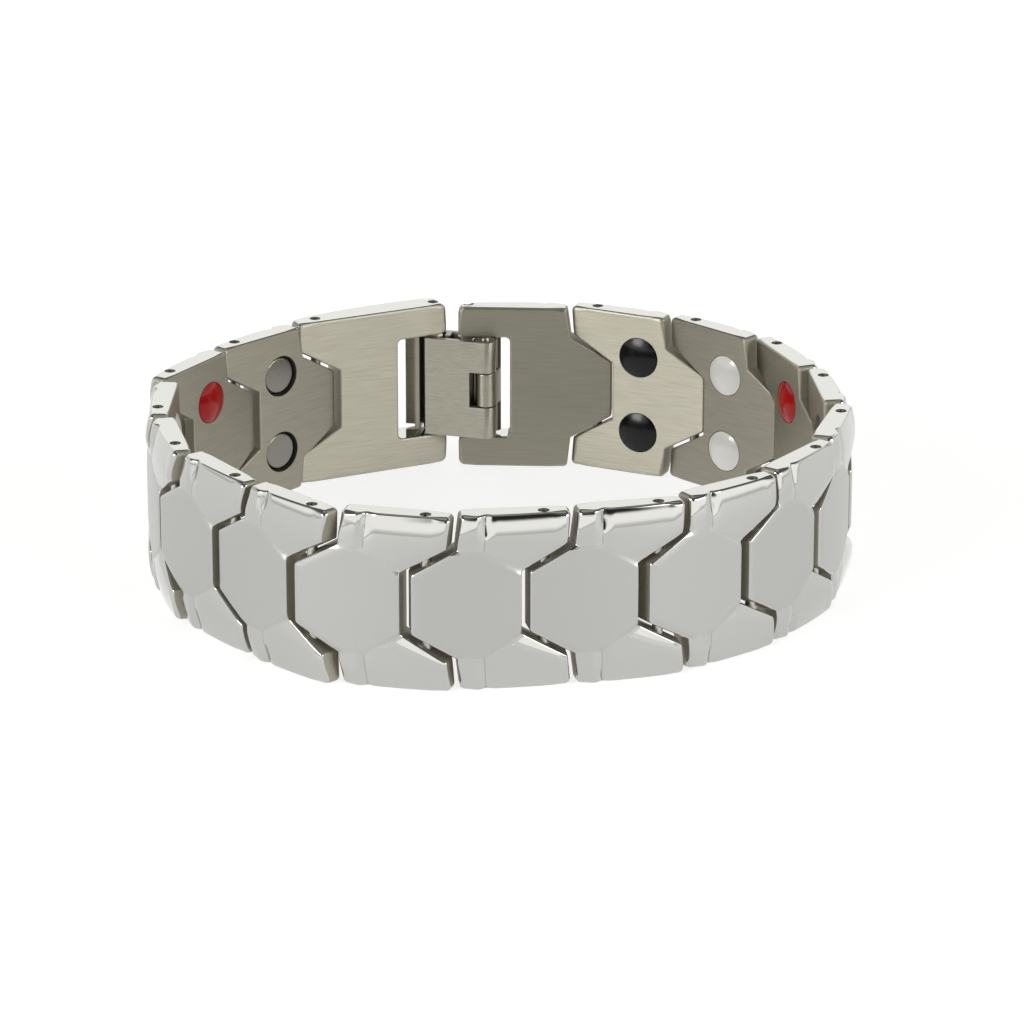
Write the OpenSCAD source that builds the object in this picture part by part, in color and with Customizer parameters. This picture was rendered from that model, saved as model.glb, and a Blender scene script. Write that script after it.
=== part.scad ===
// Link bracelet with magnets, closed and standing on its edge, axis of the ring along Z.
// Sixteen links and two long end links turn on vertical pins. A fold-over clasp joins the ends.

/* [Band] */
// Height of the band
band_h = 17; // [14:0.5:24]
// From one hinge pin to the next
link_pitch = 10.8; // [10:0.1:13]
// From a hinge pin to the end of the wings that hold it
wing_reach = 2.5; // [2.2:0.1:3]
// Gap between the wings of neighbouring links
wing_gap = 0.55; // [0.4:0.05:1]
// How far the wings' ends lean towards the nose, from the rim to the hexagon
wing_lean = 0.35; // [0:0.05:0.6]
// From the pins' line to the inner face
inner_t = 1.2; // [1.1:0.1:1.8]
// From the pins' line to the crown of the outer face
outer_t = 1.5; // [1.4:0.1:2.2]
// Radius of the outer face's crown, seen from above
crown_r = 55; // [45:1:90]

/* [Nose and notch] */
// From the hinge pin to the tip of the nose
nose_reach = 1.5; // [1.2:0.1:1.8]
// Height of the flat at the nose's tip
nose_flat = 5.8; // [5:0.2:7]
// Slope of the nose's sides
nose_slope = 30; // [24:1:34]
// Gap between the nose's tip and the notch
tip_gap = 0.65; // [0.5:0.05:1]
// Gap between the nose's sides and the notch
side_gap = 0.42; // [0.3:0.02:0.7]
// From the hinge pin to the crease at the hexagon's corner
crease_x = 4.9; // [4:0.1:5.5]
// How proud the hexagon stands of the wings
hexagon_rise = 0.12; // [0.05:0.01:0.25]

/* [Edges] */
// Height of the bevel under the outer rim
rim_bevel_h = 1.6; // [0.8:0.1:2.5]
// Depth of the bevel under the outer rim
rim_bevel_t = 0.35; // [0.2:0.05:0.6]
// Bevel of the inner edges
edge_bevel = 0.3; // [0.1:0.05:0.45]
// Length of the bevel outside the wings' and tips' ends
end_bevel = 0.8; // [0.4:0.1:1.2]

/* [Hinge pins] */
// Diameter of the hinge pins
pin_d = 1.0; // [0.8:0.1:1.4]
// Radial clearance of a pin in its bore
pin_clearance = 0.04; // [0.02:0.01:0.08]
// How deep the pins' ends lie under the rims
pin_recess = 0.35; // [0.1:0.05:0.8]

/* [Magnets] */
// Diameter of the bores for the magnets
magnet_bore_d = 4.2; // [3.4:0.1:4.8]
// Clearance round a domed magnet
magnet_clearance = 0.04; // [0.02:0.01:0.1]
// From the upper magnet's centre to the lower one's
magnet_spacing = 8; // [7:0.1:9]
// From the hinge pin in the nose to the magnets' centres
magnet_x = 5.75; // [5:0.05:6.2]
// How far the domes rise over the inner face
dome_rise = 0.5; // [0.2:0.05:0.9]
// How deep the flat discs lie under the inner face
disc_recess = 0.35; // [0.1:0.05:0.6]
// Width of the groove round a flat disc
disc_groove = 0.22; // [0.1:0.02:0.4]
// Wall left outside the magnets' bores
magnet_wall = 1.1; // [0.8:0.1:1.5]

/* [Clasp ends] */
// From pin to pin of the left end link
left_end_l = 13.0; // [11:0.1:16]
// From pin to pin of the right end link
right_end_l = 13.1; // [11:0.1:16]
// From the clasp pin to the tips of an end link
tip_reach = 1.0; // [0.8:0.1:1.2]
// Radius of the tips' corners, seen from inside
tip_corner = 0.7; // [0.3:0.1:1.2]
// Height of the clasp windows
window_h = 10.6; // [9:0.2:12]
// From the clasp pin to the end wall of the left window
left_window = 4.4; // [4:0.1:6]
// From the clasp pin to the end wall of the right window
right_window = 4.25; // [4:0.05:6]
// From the pins' line to the crown of the left end link
left_end_t = 2.3; // [1.8:0.1:2.8]
// From the clasp pin to the middle of the left end link's crown
left_crown_x = 4.8; // [3.5:0.1:7]

/* [Clasp] */
// From one clasp pin to the other
clasp_pitch = 3.7; // [3.4:0.1:4.5]
// Turn of the band from the right end link to the clasp
clasp_turn = -8; // [-15:1:5]
// Diameter of the bar that the clip closes on
bar_d = 2.0; // [1.6:0.1:2.2]
// Gap between the clip and the bar
clip_gap = 0.2; // [0.1:0.05:0.3]
// Wall of the clip
clip_wall = 0.55; // [0.4:0.05:0.8]
// How far the lever reaches past the clip
lever_lip = 1.3; // [0.8:0.1:2]
// Thickness of the lever's plate
lever_t = 0.65; // [0.5:0.05:0.9]
// Gap above and below the lever in the windows
lever_gap = 0.3; // [0.15:0.05:0.5]
// Thickness of the leaf's plate
leaf_t = 0.65; // [0.5:0.05:0.8]
// Gap above and below the leaf in the windows
leaf_gap = 0.18; // [0.1:0.02:0.4]
// How far the leaf reaches past the bar's centre
leaf_reach = 0.5; // [0.2:0.1:1]
// Wall of the barrels round their pins
barrel_wall = 0.5; // [0.4:0.05:0.6]
// From the clasp pins' line in to the lever's hinge
hinge_in = 1.2; // [1:0.05:1.5]
// From the right clasp pin back to the lever's hinge
hinge_back = 2.0; // [1.9:0.05:2.3]
// From the lever's hinge to the end of the lever's curl
curl_reach = 2.2; // [2:0.05:2.3]
// How far the curl runs on round the hinge
curl_turn = 35; // [25:1:45]
// Height of the middle barrel
middle_barrel_h = 3.5; // [2.5:0.1:4.5]
// From the middle barrel to the end of the leaf's cut-out
cut_gap = 0.5; // [0.3:0.05:0.8]
// Gap between pieces of the clasp
clasp_gap = 0.1; // [0.06:0.01:0.2]

/* [Hidden] */
$fn = 48;
// Turn of the band at each hinge in degrees, from the left clasp end to the right one.
bends = [19, 13, 30, 15, 22, 9, 32, 21, 7, 22, 19, 20, 22, 16, 24, 19, 22];
links = len(bends) - 1;
pieces = links + 2;
lengths = [left_end_l, for (i = [1:links]) link_pitch, right_end_l];
// Finer circle for the crowned faces
crown_fn = 240;

// Slope of the outer bevel at a piece's ends, and how far the bevels' planes run on past the faces
bevel_slope = 0.45;
past = 4;

half_h = band_h / 2;
wing_start = wing_reach + wing_gap;
rise = tan(nose_slope);
// Half height of the nose's side at distance x from the hinge pin
function nose_z(x) = nose_flat / 2 + (x + nose_reach) * rise;
// The same for the notch round it
function notch_z(x) = nose_z(x) + side_gap / cos(nose_slope);
notch_reach = nose_reach + tip_gap;
notch_flat_z = notch_z(-notch_reach);
// Height of the hexagon's flat, where the nose's side meets the wings
hexagon_x = wing_start - wing_lean;
hexagon_z = nose_z(hexagon_x);

pin_r = pin_d / 2;
bore_r = pin_r + pin_clearance;
pin_l = band_h - 2 * pin_recess;

magnet_bore_r = magnet_bore_d / 2;
dome_r = magnet_bore_r - magnet_clearance;
disc_r = magnet_bore_r - disc_groove;
// Seat of the magnets, measured from the pins' line, and their gap from it
seat_gap = 0.03;

bar_r = bar_d / 2;
barrel_r = bore_r + barrel_wall;
// The lever's hinge in the clasp's frame: x from the right clasp pin to the left one, y inwards
hinge_x = -hinge_back;
clip_in = bar_r + clip_gap;
lever_in_t = bar_r + clasp_gap;
lever_out_t = lever_in_t + lever_t;
lever_half_h = window_h / 2 - lever_gap;
leaf_half_h = window_h / 2 - leaf_gap;
leaf_end = clasp_pitch + leaf_reach;
// Inner face of the leaf: under the bar at its free end, level with the barrels at its hinge
leaf_low = bar_r + clasp_gap + leaf_t;
leaf_high = hinge_in + barrel_r;
function leaf_face(x) = leaf_high + (leaf_low - leaf_high) * (x - hinge_x) / (leaf_end - hinge_x);
cut_half_h = middle_barrel_h / 2 + clasp_gap;
cut_x = hinge_x + barrel_r + cut_gap;

// Path of the hinges. The bends are trimmed by two small factors until the clasp closes the ring.
function step(a) = [cos(a), sin(a)];
function bend(k, trim) = bends[k] * (1 + trim[0] + trim[1] * (2 * k / links - 1));
function headings(trim) =
    [for (k = 0, a = 0; k < pieces; a = a + (k <= links ? bend(k, trim) : 0), k = k + 1) a];
function path(trim) =
    let (a = headings(trim))
    [
        for (k = 0, p = [0, 0]; k <= pieces;
             p = p + (k < pieces ? lengths[k] * step(a[k]) : [0, 0]), k = k + 1)
            p
    ];
function clasp_heading(trim) = headings(trim)[pieces - 1] + clasp_turn;
function miss(trim) = path(trim)[pieces] + clasp_pitch * step(clasp_heading(trim));
probe = 0.0001;
function settle(trim, tries) =
    tries == 0 ? trim :
    let (m = miss(trim),
         u = (miss(trim + [probe, 0]) - m) / probe,
         v = (miss(trim + [0, probe]) - m) / probe)
    settle(trim - [cross(m, v), cross(u, m)] / cross(u, v), tries - 1);
trim = settle([0, 0], 8);

// The clasp points along -X, and the ring is centred on the Z axis.
turn = 180 - clasp_heading(trim);
function turned(p, a) = [p[0] * cos(a) - p[1] * sin(a), p[0] * sin(a) + p[1] * cos(a)];
heading = [for (a = headings(trim)) a + turn];
loose_path = [for (p = path(trim)) turned(p, turn)];

// Where each piece begins and ends along its own x, and the middle and height of its crown
function low_x(k) = k == 0 ? -tip_reach : -nose_reach;
function high_x(k) = lengths[k] + (k == pieces - 1 ? tip_reach : wing_reach);
function crown_x(k) = k == 0 ? left_crown_x : (low_x(k) + high_x(k)) / 2;
function crown_t(k) = k == 0 ? left_end_t : outer_t;
// Outer face at distance x, where outwards is -Y
function crown_y(k, x) = crown_r - crown_t(k) - sqrt(crown_r * crown_r - (x - crown_x(k)) ^ 2);
samples = 24;
function rim_of(k) =
    [for (i = [0:samples]) let (x = low_x(k) + (high_x(k) - low_x(k)) * i / samples) [x, crown_y(k, x)]];
outline = [for (k = [0:pieces - 1]) for (p = rim_of(k)) loose_path[k] + turned(p, heading[k])];
low = [min([for (p = outline) p[0]]), min([for (p = outline) p[1]])];
high = [max([for (p = outline) p[0]]), max([for (p = outline) p[1]])];
hinge = [for (p = loose_path) p - (low + high) / 2];

function two_digits(k) = str(k < 10 ? "0" : "", k);

// Puts a piece on the ring: x from its first pin to its second, y inwards, z from the middle height
module on_ring(k) {
    translate([hinge[k][0], hinge[k][1], half_h])
        rotate(heading[k])
            children();
}

// The clasp's own frame, from the right clasp pin towards the left one
module on_clasp() {
    translate([hinge[pieces][0], hinge[pieces][1], half_h])
        rotate(180)
            children();
}

// Prism of a face outline (x, z) right through the band's thickness
module through(points) {
    depth = inner_t + max(outer_t, left_end_t);
    translate([0, depth, 0])
        rotate([90, 0, 0])
            linear_extrude(2 * depth)
                polygon(points);
}

// Section of the band (y, z): bevelled inner edges, and a long bevel under each outer rim
module section(k) {
    rim_y = -crown_t(k) + rim_bevel_t;
    half = [
        [inner_t, half_h - edge_bevel],
        [inner_t - edge_bevel, half_h],
        [rim_y, half_h],
        [rim_y - past * rim_bevel_t, half_h - past * rim_bevel_h]
    ];
    translate([low_x(k), 0, 0])
        rotate([90, 0, 90])
            linear_extrude(high_x(k) - low_x(k))
                polygon(closed_up(half));
}

// Plan of the band (x, y): bevelled inner corners, and a long bevel outside at each end
module plan(k, low_bevel, high_bevel) {
    low = [low_x(k), crown_y(k, low_x(k)) + bevel_slope * low_bevel];
    high = [high_x(k), crown_y(k, high_x(k)) + bevel_slope * high_bevel];
    linear_extrude(band_h, center = true)
        polygon([
            [low[0] + edge_bevel, inner_t],
            [high[0] - edge_bevel, inner_t],
            [high[0], inner_t - edge_bevel],
            high,
            high - past * high_bevel * [1, bevel_slope],
            low - past * low_bevel * [-1, bevel_slope],
            low
        ]);
}

// Cylinder whose side is the crowned outer face
module crown(k, lower_by) {
    translate([crown_x(k), crown_r - crown_t(k), 0])
        cylinder(h = band_h, r = crown_r - lower_by, center = true, $fn = crown_fn);
}

// Upper half of the outline of a nose with the wings' start, from the tip to the rim
function nose_points() = [
    [-nose_reach, nose_flat / 2],
    [hexagon_x, hexagon_z],
    [wing_start, half_h]
];

// Upper half of the outline of the wings' end with the notch, for a hinge pin at x
function notch_points(x) =
    let (mouth = x + wing_reach - wing_lean)
    [
        [x + wing_reach, half_h],
        [mouth, notch_z(wing_reach - wing_lean)],
        [x - notch_reach, notch_flat_z]
    ];

// Upper half of the outline of two tips with a clasp window, for a clasp pin at x, towards side
function window_points(x, side, depth) =
    let (tip = x + side * tip_reach, c = tip_corner, w = window_h / 2)
    [
        [tip - side * c, half_h],
        [tip, half_h - c],
        [tip, w],
        [x - side * depth, w]
    ];

function reversed(points) = [for (i = [len(points) - 1:-1:0]) points[i]];
// Adds the lower half of an outline to its upper half
function closed_up(points) = concat(points, [for (p = reversed(points)) [p[0], -p[1]]]);

// Raised hexagon (x, z) from the nose's tip to the notch's flat
function hexagon_points(flat_x) =
    closed_up([
        [-nose_reach, nose_flat / 2],
        [hexagon_x, hexagon_z],
        [crease_x, hexagon_z],
        [flat_x, notch_flat_z]
    ]);

module hinge_bore(x) {
    translate([x, 0, 0])
        cylinder(h = band_h + 1, r = bore_r, center = true);
}

module magnet_bore(side) {
    depth = inner_t + outer_t - magnet_wall;
    translate([magnet_x, inner_t + 1, side * magnet_spacing / 2])
        rotate([90, 0, 0])
            cylinder(h = depth + 1, r = magnet_bore_r);
}

module link(k) {
    color("gainsboro")
        on_ring(k)
            difference() {
                intersection() {
                    through(closed_up(concat(nose_points(), notch_points(link_pitch))));
                    section(k);
                    plan(k, edge_bevel, end_bevel);
                    union() {
                        crown(k, hexagon_rise);
                        intersection() {
                            crown(k, 0);
                            through(hexagon_points(link_pitch - notch_reach));
                        }
                    }
                }
                hinge_bore(0);
                hinge_bore(link_pitch);
                magnet_bore(1);
                magnet_bore(-1);
            }
}

// End link k, from the upper half of its outline
module clasp_end(k, points, low_bevel, high_bevel) {
    color("gainsboro")
        on_ring(k)
            difference() {
                intersection() {
                    through(closed_up(points));
                    section(k);
                    plan(k, low_bevel, high_bevel);
                    crown(k, 0);
                }
                hinge_bore(0);
                hinge_bore(lengths[k]);
            }
}

module clasp_end_left() {
    tips = reversed(window_points(0, -1, left_window));
    clasp_end(0, concat(tips, notch_points(left_end_l)), edge_bevel, end_bevel);
}

module clasp_end_right() {
    tips = window_points(right_end_l, 1, right_window);
    clasp_end(pieces - 1, concat(nose_points(), tips), edge_bevel, edge_bevel);
}

module hinge_pin(k) {
    color("dimgray")
        on_ring(k + 1)
            cylinder(h = pin_l, r = pin_r, center = true);
}

// Red, white and black domes and flat steel discs take turns round the ring
magnet_colors = ["silver", "crimson", "white", "black"];

module magnet(side, domed) {
    r = domed ? dome_r : disc_r;
    seat = -outer_t + magnet_wall + seat_gap;
    face = domed ? inner_t : inner_t - disc_recess;
    sphere_r = (r * r + dome_rise * dome_rise) / (2 * dome_rise);
    translate([magnet_x, 0, side * magnet_spacing / 2])
        rotate([-90, 0, 0]) {
            translate([0, 0, seat])
                cylinder(h = face - seat, r = r);
            if (domed)
                intersection() {
                    translate([0, 0, face + dome_rise - sphere_r])
                        sphere(sphere_r);
                    translate([0, 0, face])
                        cylinder(h = 2 * dome_rise, r = sphere_r);
                }
        }
}

module magnet_pair(k) {
    kind = (k - 1) % len(magnet_colors);
    color(magnet_colors[kind])
        on_ring(k)
            for (side = [-1, 1])
                magnet(side, kind > 0);
}

// Bar between the left tips, thick where the clip closes on it
module clasp_pin_left() {
    color("silver")
        on_ring(0) {
            cylinder(h = pin_l, r = pin_r, center = true);
            cylinder(h = 2 * lever_half_h, r = bar_r, center = true);
        }
}

module clasp_pin_right() {
    color("silver")
        on_clasp()
            cylinder(h = pin_l, r = pin_r, center = true);
}

module at_lever_hinge() {
    translate([hinge_x, hinge_in, 0])
        children();
}

// Inner plate, with a barrel round the right clasp pin and two barrels of the lever's hinge
module clasp_leaf() {
    side_h = leaf_half_h - cut_half_h;
    cut_l = cut_gap + 2 * barrel_r + clasp_gap;
    color("darkgray")
        on_clasp()
            difference() {
                union() {
                    linear_extrude(2 * leaf_half_h, center = true)
                        polygon([
                            [hinge_x, leaf_face(hinge_x)],
                            [leaf_end, leaf_face(leaf_end)],
                            [leaf_end, leaf_face(leaf_end) - leaf_t],
                            [hinge_x, leaf_face(hinge_x) - leaf_t]
                        ]);
                    linear_extrude(2 * leaf_half_h, center = true)
                        polygon([
                            [-bore_r, 0],
                            [bore_r, 0],
                            [bore_r, leaf_face(bore_r) - leaf_t / 2],
                            [-bore_r, leaf_face(-bore_r) - leaf_t / 2]
                        ]);
                    cylinder(h = 2 * leaf_half_h, r = barrel_r, center = true);
                    for (side = [-1, 1])
                        translate([0, 0, side * (cut_half_h + side_h / 2)])
                            at_lever_hinge()
                                cylinder(h = side_h, r = barrel_r, center = true);
                }
                cylinder(h = band_h, r = bore_r, center = true);
                at_lever_hinge()
                    cylinder(h = band_h, r = bore_r, center = true);
                translate([cut_x - cut_l, 0, -cut_half_h])
                    cube([cut_l, 2 * leaf_high, 2 * cut_half_h]);
            }
}

module clasp_hinge_pin() {
    color("silver")
        on_clasp()
            at_lever_hinge()
                cylinder(h = 2 * leaf_half_h - pin_recess, r = pin_r, center = true);
}

// Outer plate: its clip closes on the left bar, and its curl carries the middle barrel
module clasp_lever() {
    clip_low = clasp_pitch - clip_in;
    clip_high = clasp_pitch + clip_in;
    lip_x = clip_high + clip_wall + lever_lip;
    color("gainsboro")
        on_clasp()
            difference() {
                union() {
                    linear_extrude(2 * lever_half_h, center = true)
                        polygon([
                            [hinge_x + barrel_r, -lever_out_t],
                            [lip_x - lever_t, -lever_out_t],
                            [lip_x, -lever_in_t],
                            [lip_x, -lever_t],
                            [clip_high + clip_wall, -lever_t],
                            [clip_high + clip_wall, bar_r],
                            [clip_high, bar_r],
                            [clip_high, -lever_in_t],
                            [clip_low, -lever_in_t],
                            [clip_low, 0],
                            [clip_low - clip_wall, 0],
                            [clip_low - clip_wall, -lever_in_t],
                            [hinge_x + barrel_r, -lever_in_t]
                        ]);
                    lever_curl();
                }
                at_lever_hinge()
                    cylinder(h = band_h, r = bore_r, center = true);
            }
}

// Bent back end of the lever over the hinge, and the web down to the middle barrel
module lever_curl() {
    back = curl_reach * step(-90 - curl_turn);
    inner_back = back * (1 - lever_t / curl_reach);
    out_y = -lever_out_t - hinge_in;
    in_y = -lever_in_t - hinge_in;
    at_lever_hinge() {
        difference() {
            linear_extrude(2 * lever_half_h, center = true)
                polygon([
                    [barrel_r, out_y],
                    [back[0] / 2, out_y + lever_t],
                    back,
                    inner_back,
                    [0, in_y + lever_t],
                    [barrel_r, in_y]
                ]);
            cylinder(h = band_h, r = barrel_r + clasp_gap, center = true);
        }
        cylinder(h = middle_barrel_h, r = barrel_r, center = true);
        linear_extrude(middle_barrel_h, center = true)
            polygon([
                [-barrel_r, 0],
                back,
                [0, in_y],
                [pin_r, 0]
            ]);
    }
}

for (k = [1:links]) {
    link(k);
    magnet_pair(k);
}
for (k = [0:links])
    hinge_pin(k);
clasp_end_left();
clasp_end_right();
clasp_pin_left();
clasp_pin_right();
clasp_leaf();
clasp_hinge_pin();
clasp_lever();
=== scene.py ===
"""Looks of a closed link bracelet with magnets: polished and satin links, round inserts and the clasp.

The links' forms are worked out in millimetres in each piece's own frame, as the source of the solids
does it: u runs from a piece's first pin to its second, z from the band's mid height, and w outwards
from the pins' line. A piece's mesh holds x = u, y = -w and z, in metres.
"""
import math

import bpy
import numpy as np
from mathutils import Matrix, Vector, geometry, kdtree


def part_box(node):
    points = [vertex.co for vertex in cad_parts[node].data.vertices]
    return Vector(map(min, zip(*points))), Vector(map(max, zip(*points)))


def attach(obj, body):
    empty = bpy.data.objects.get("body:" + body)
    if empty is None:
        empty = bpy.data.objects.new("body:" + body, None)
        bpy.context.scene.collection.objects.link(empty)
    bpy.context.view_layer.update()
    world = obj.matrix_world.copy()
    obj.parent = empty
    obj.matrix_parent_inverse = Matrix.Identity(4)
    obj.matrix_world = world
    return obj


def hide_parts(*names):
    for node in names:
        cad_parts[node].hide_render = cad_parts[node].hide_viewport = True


MM = 0.001

# The band, as in the solids' source
HALF_H = 8.5
PITCH = 10.8
WING_REACH = 2.5
WING_START = 3.05
HEXAGON_X = 2.7
MOUTH_BACK = 0.35
INNER_T = 1.2
OUTER_T = 1.5
CROWN_R = 55.0
NOSE_REACH = 1.5
NOSE_Z = 2.9
NOSE_SLOPE = math.radians(30)
NOTCH_REACH = 2.15
SIDE_GAP = 0.42
LEFT_END_L = 13.0
RIGHT_END_L = 13.1
TIP_REACH = 1.0
WINDOW_Z = 5.3
LEFT_WINDOW = 4.4
RIGHT_WINDOW = 4.25
LEFT_END_T = 2.3
LEFT_CROWN_X = 4.8
LINKS = 16
BORE_R = 0.54
MAGNET_BORE_R = 2.1
MAGNET_X = 5.75
MAGNET_Z = 4.0
MAGNET_DEPTH = 1.6

# Forms that the solids leave plain
HEXAGON_RISE = 0.02
HEXAGON_Z = 5.2
HEXAGON_EDGE = 0.8
LEFT_HEXAGON_X = 7.1
NOSE_EDGE = 0.8
NOSE_SLOPE_AT_EDGE = 0.26
CREASE_X = 5.2
CREASE_LEAN = 0.06
# Half width of the painted shade line along the groove at the crease: a darker colour standing in for
# the groove's shade
CREASE_SHADE_WIDTH = 0.08
# The ridge and shoulder at the crease: their height beside the hexagon as a share of the full one, and
# the middle and length in z of the rise between the two
RIDGE_SHARE = 0.35
RIDGE_RISE = (6.6, 2.2)
# Slopes of the left end link's turned-in tip, as (place, slope), and how far that of the right end
# link lies past the end of a wing
LEFT_TIP_STATIONS = [(-TIP_REACH, 0.22), (0.3, 0.0)]
RIGHT_TIP_SHIFT = 1.0
# Curved band under each rim, as (distance from the rim, slope)
RIM_STATIONS = [
    (0.0, 0.33), (0.6, 0.26), (1.2, 0.215), (1.85, 0.18), (2.2, 0.13), (2.7, 0.04), (3.2, 0.0),
]
# Share of that band's width that is lost at the crease and at a wing's end, and the change's length
BAND_AT_CREASE = (0.3, 0.6)
BAND_AT_END = (0.5, 1.9)
# Bevels along the notch, as (slope, width at the notch's corner, width at the wing's end)
NOTCH_BEVELS = [(0.27, 1.12, 0.31), (0.19, 1.25, 0.35)]
BEVEL_ROUNDING = 0.08
# Hollow beside the hexagon: its slope, its width at the notch's corner and its length from there
CORNER_HOLLOW = (0.19, 1.0, 3.0)
HOLLOW_ROUNDING = 0.15
# Radii of the rounded edges, at the rims, at the wings' ends and at the nose and notch
OUTER_EDGES = (0.18, 0.42, 0.14)
INNER_EDGES = (0.25, 0.42, 0.20)
# Middle and length of the change between them, in z towards a rim and in distance from an end
EDGE_CHANGE_Z = (7.0, 2.4)
EDGE_CHANGE_END = (1.0, 1.4)
# Width of the fade from satin to polish, and of the nose's polished border
SATIN_EDGE = 0.1
NOSE_POLISH = 0.2
# Spacing of a face's points: the coarsest, and the finest with the turn of the surface that calls for it
COARSE_CELL = 0.8
OUTER_DETAIL = (0.05, math.radians(1.5))
INNER_DETAIL = (0.1, math.radians(4))

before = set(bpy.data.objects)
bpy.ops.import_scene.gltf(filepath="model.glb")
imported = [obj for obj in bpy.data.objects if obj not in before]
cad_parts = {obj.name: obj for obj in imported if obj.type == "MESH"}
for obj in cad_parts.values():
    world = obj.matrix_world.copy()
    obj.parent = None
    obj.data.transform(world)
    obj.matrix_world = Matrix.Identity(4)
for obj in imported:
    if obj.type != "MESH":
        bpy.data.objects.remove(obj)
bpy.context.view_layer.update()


def nose_z(u):
    """Half height of the nose's side at distance u from its pin."""
    return NOSE_Z + (u + NOSE_REACH) * math.tan(NOSE_SLOPE)


def notch_z(u):
    """Half height of the notch's side at distance u from the pin in it."""
    return nose_z(u) + SIDE_GAP / math.cos(NOSE_SLOPE)


NOTCH_FLAT_Z = notch_z(-NOTCH_REACH)
MOUTH_Z = notch_z(WING_REACH - MOUTH_BACK)
RIM_Z = nose_z(HEXAGON_X)


def soft_step(x, width):
    """Goes smoothly from 0 to 1 over width, centred on 0."""
    s = np.clip(x / width + 0.5, 0, 1)
    return s * s * (3 - 2 * s)


def ramp(x, width):
    """0 below 0 and x above it, with the corner rounded over width."""
    half = width / 2
    return np.where(x > half, x, np.clip(x + half, 0, None) ** 2 / (2 * width))


def segment_distance(points, a, b):
    """Distance of each point from the segment a to b."""
    a, b = np.array(a, float), np.array(b, float)
    along = np.clip(((points - a) @ (b - a)) / ((b - a) @ (b - a)), 0, 1)
    return np.linalg.norm(points - a - along[:, None] * (b - a), axis=1)


def line_side(points, a, b):
    """Signed distance from the line a to b, above 0 on its left."""
    a, b = np.array(a, float), np.array(b, float)
    normal = np.array([a[1] - b[1], b[0] - a[0]]) / np.linalg.norm(b - a)
    return (points - a) @ normal


def crown(u, middle, top):
    """Height of the crowned outer face."""
    return top - CROWN_R + np.sqrt(CROWN_R**2 - (u - middle) ** 2)


def profile(u, stations, step=0.01):
    """Height at the places u from (place, slope) stations, 0 at the last one."""
    places, slopes = np.array(stations).T
    fine = np.arange(places[0] - 1, places[-1] + 3, step)
    heights = np.cumsum(np.interp(fine, places, slopes)) * step
    return np.interp(u, fine, heights) - np.interp(places[-1], fine, heights)


def rim_drop(z, share=1.0):
    """Depth of the curved band under each rim, where the band has a share of its full width."""
    return -share * profile((HALF_H - np.abs(z)) / share, RIM_STATIONS)


def nose_drop(distance):
    """Depth of the nose's softened border at a distance from its side."""
    return NOSE_SLOPE_AT_EDGE * np.clip(NOSE_EDGE - distance, 0, None) ** 2 / (2 * NOSE_EDGE)


# Slopes of a wing along the band: a ridge, the groove at the crease and the shoulder after it
WING_START_STATIONS = [
    (WING_START, 0.28), (3.5, 0.22), (4.1, 0.15), (4.35, 0.0), (4.55, -0.40),
    (CREASE_X - 0.04, -0.45), (CREASE_X + 0.04, 0.40), (5.7, 0.33), (5.95, 0.15), (6.3, 0.0),
]
WING_END_STATIONS = [(12.0, 0.0), (12.5, -0.14), (13.3, -0.22)]


def groove_lean(z):
    """How far the groove moves along the band at a height z."""
    return CREASE_LEAN * np.clip(np.abs(z) - HEXAGON_Z, 0, None)


def wing_start(u, z):
    """Height of the ridge, groove and shoulder, which are lower beside the hexagon."""
    middle, length = RIDGE_RISE
    share = RIDGE_SHARE + (1 - RIDGE_SHARE) * soft_step(np.abs(z) - middle, length)
    return share * profile(u - groove_lean(z), WING_START_STATIONS)


def wing_end(u, shift=0.0):
    """Height of the turned-in end of a wing: 0 before it, and below 0 along it."""
    start = WING_END_STATIONS[0][0]
    return profile(u - shift, WING_END_STATIONS) - profile(start, WING_END_STATIONS)


def wing_band(u, end):
    """Share of the rim's band that is left: it is narrower before the crease and at the wing's end."""
    loss, length = BAND_AT_CREASE
    left = 1 - loss * soft_step(CREASE_X - u, length)
    loss, length = BAND_AT_END
    return left - loss * np.clip((u - end + length) / length, 0, 1) ** 2


def notch_bevel(p, pin):
    """Depth of the bevels along the notch, wide at its corner and narrow at the wing's end."""
    along = np.clip((p[:, 0] - pin + NOTCH_REACH) / (NOTCH_REACH + WING_REACH), 0, 1)
    distance = notch_side(p, pin)
    depth = np.zeros(len(p))
    for slope, wide, narrow in NOTCH_BEVELS:
        width = wide + (narrow - wide) * along
        depth = np.maximum(depth, slope * ramp(width - distance, BEVEL_ROUNDING))
    return depth


def corner_hollow(p, pin, hexagon):
    """Depth of the hollow beside the hexagon, widest at the notch's corner. hexagon is the signed
    distance into the hexagon."""
    slope, width, length = CORNER_HOLLOW
    from_corner = np.hypot(p[:, 0] - pin + NOTCH_REACH, p[:, 1] - NOTCH_FLAT_Z)
    return slope * ramp(width * np.clip(1 - from_corner / length, 0, 1) + hexagon, HOLLOW_ROUNDING)


def nose_distance(p):
    """Distance from the nose's tip and sides, for points with z turned up."""
    tip = segment_distance(p, (-NOSE_REACH, 0), (-NOSE_REACH, NOSE_Z))
    side = segment_distance(p, (-NOSE_REACH, NOSE_Z), (HEXAGON_X, RIM_Z))
    return np.minimum(tip, side)


def notch_side(p, pin):
    """Signed distance from the line of the notch's side into the wing."""
    return line_side(p, (pin - NOTCH_REACH, NOTCH_FLAT_Z), (pin + WING_REACH - MOUTH_BACK, MOUTH_Z))


def hexagon_right(p, pin):
    """Signed distance from the hexagon's side by the notch into the hexagon."""
    return -line_side(p, (CREASE_X, HEXAGON_Z), (pin - NOTCH_REACH, NOTCH_FLAT_Z))


def turned_up(points):
    """The points with z turned up, because the forms are the same above and below."""
    return np.column_stack((points[:, 0], np.abs(points[:, 1])))


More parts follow.
